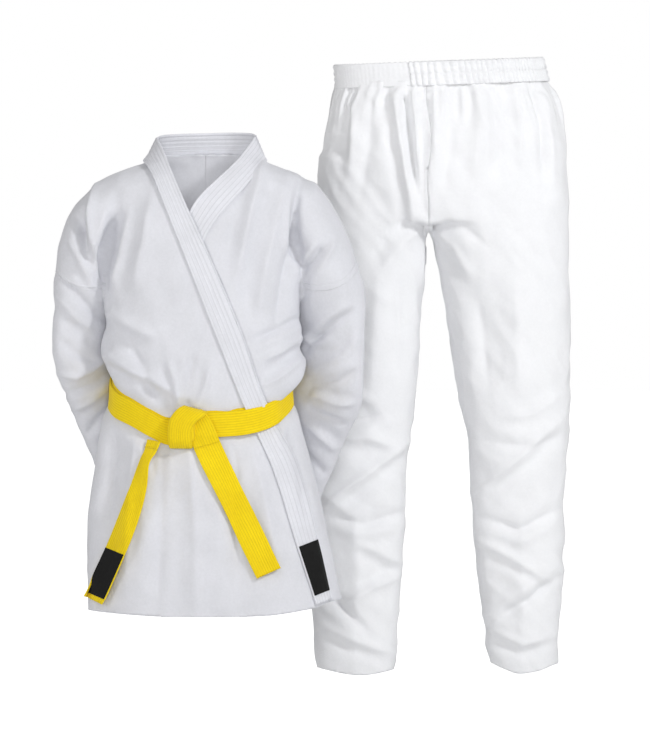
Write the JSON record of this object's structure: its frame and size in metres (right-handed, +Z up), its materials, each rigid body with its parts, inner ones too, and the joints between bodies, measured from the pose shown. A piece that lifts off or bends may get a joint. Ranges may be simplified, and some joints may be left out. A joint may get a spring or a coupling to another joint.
{
  "type": "martial arts uniform",
  "caption": "Karate-style uniform: crossed wrap jacket with stitched lapels and a knotted belt, and elastic-waist trousers hanging behind it.",
  "frame": {"origin": "middle of the jacket's neck line, where a hanger or a stand's neck holds it", "axes": "+X to the right seen from the front, -Y to the front, +Z up"},
  "size_m": [0.846, 0.4452, 0.99],
  "materials": {
    "jacket_cloth": "matt cotton canvas, cool white",
    "lapel_cloth": "matt layered cotton canvas with rows of stitching",
    "belt_cloth": "matt yellow cotton tape with lengthwise stitching",
    "patch_cloth": "flat black woven patch",
    "trouser_cloth": "matt cotton canvas, near white",
    "elastic": "woven rubber elastic"
  },
  "bodies": {
    "jacket": {"back_panel_left": "jacket_cloth", "back_panel_right": "jacket_cloth", "front_panel_over": "jacket_cloth", "front_panel_under": "jacket_cloth", "neck_band": "lapel_cloth", "lapel_over": "lapel_cloth", "lapel_under": "lapel_cloth", "shoulder_cap_left": "jacket_cloth", "shoulder_cap_right": "jacket_cloth", "belt_inner_wrap": "belt_cloth", "belt_outer_wrap": "belt_cloth", "belt_knot": "belt_cloth"},
    "front_skirt": {"skirt_panel_over": "jacket_cloth", "skirt_panel_under": "jacket_cloth", "skirt_lapel_over": "lapel_cloth", "skirt_lapel_under": "lapel_cloth", "lapel_patch": "patch_cloth"},
    "left_sleeve": {"sleeve_left": "jacket_cloth", "cuff_facing_left": "jacket_cloth"},
    "right_sleeve": {"sleeve_right": "jacket_cloth", "cuff_facing_right": "jacket_cloth"},
    "left_tail": {"belt_tail_left": "belt_cloth", "belt_tail_patch": "patch_cloth"},
    "right_tail": {"belt_tail_right": "belt_cloth"},
    "trousers": {"hip_front_left": "trouser_cloth", "hip_front_right": "trouser_cloth", "hip_back_left": "trouser_cloth", "hip_back_right": "trouser_cloth", "crotch_gusset": "trouser_cloth", "waistband_flat_front": "trouser_cloth", "waistband_gathered": "trouser_cloth", "waistband_lining": "trouser_cloth", "waist_elastic": "elastic"},
    "left_leg": {"leg_left_front": "trouser_cloth", "leg_left_back": "trouser_cloth", "leg_left_hem_facing": "trouser_cloth"},
    "right_leg": {"leg_right_front": "trouser_cloth", "leg_right_back": "trouser_cloth", "leg_right_hem_facing": "trouser_cloth"}
  },
  "joints": [
    {"name": "left_sleeve_lift", "type": "hinge", "parent": "jacket", "child": "left_sleeve", "pos_m": [-0.183, 0.005, -0.148], "axis": [0, 1, 0], "range_deg": [0, 45]},
    {"name": "right_sleeve_lift", "type": "hinge", "parent": "jacket", "child": "right_sleeve", "pos_m": [0.183, 0.005, -0.148], "axis": [0, -1, 0], "range_deg": [0, 45]},
    {"name": "front_skirt_lift", "type": "hinge", "parent": "jacket", "child": "front_skirt", "pos_m": [0, -0.088, -0.478], "axis": [-1, 0, 0], "range_deg": [0, 35]},
    {"name": "left_tail_swing", "type": "hinge", "parent": "front_skirt", "child": "left_tail", "pos_m": [-0.08, -0.1046, -0.4865], "axis": [-1, 0, 0], "range_deg": [0, 50]},
    {"name": "right_tail_swing", "type": "hinge", "parent": "front_skirt", "child": "right_tail", "pos_m": [0.01, -0.1081, -0.4865], "axis": [-1, 0, 0], "range_deg": [0, 50]},
    {"name": "trousers_apart", "type": "slide", "parent": "jacket", "child": "trousers", "axis": [1, 0, 0], "range_m": [0, 0.35]},
    {"name": "left_leg_spread", "type": "hinge", "parent": "trousers", "child": "left_leg", "pos_m": [0.266, 0.226, -0.13], "axis": [0, 1, 0], "range_deg": [0, 20]},
    {"name": "right_leg_spread", "type": "hinge", "parent": "trousers", "child": "right_leg", "pos_m": [0.488, 0.226, -0.13], "axis": [0, -1, 0], "range_deg": [0, 20]}
  ]
}
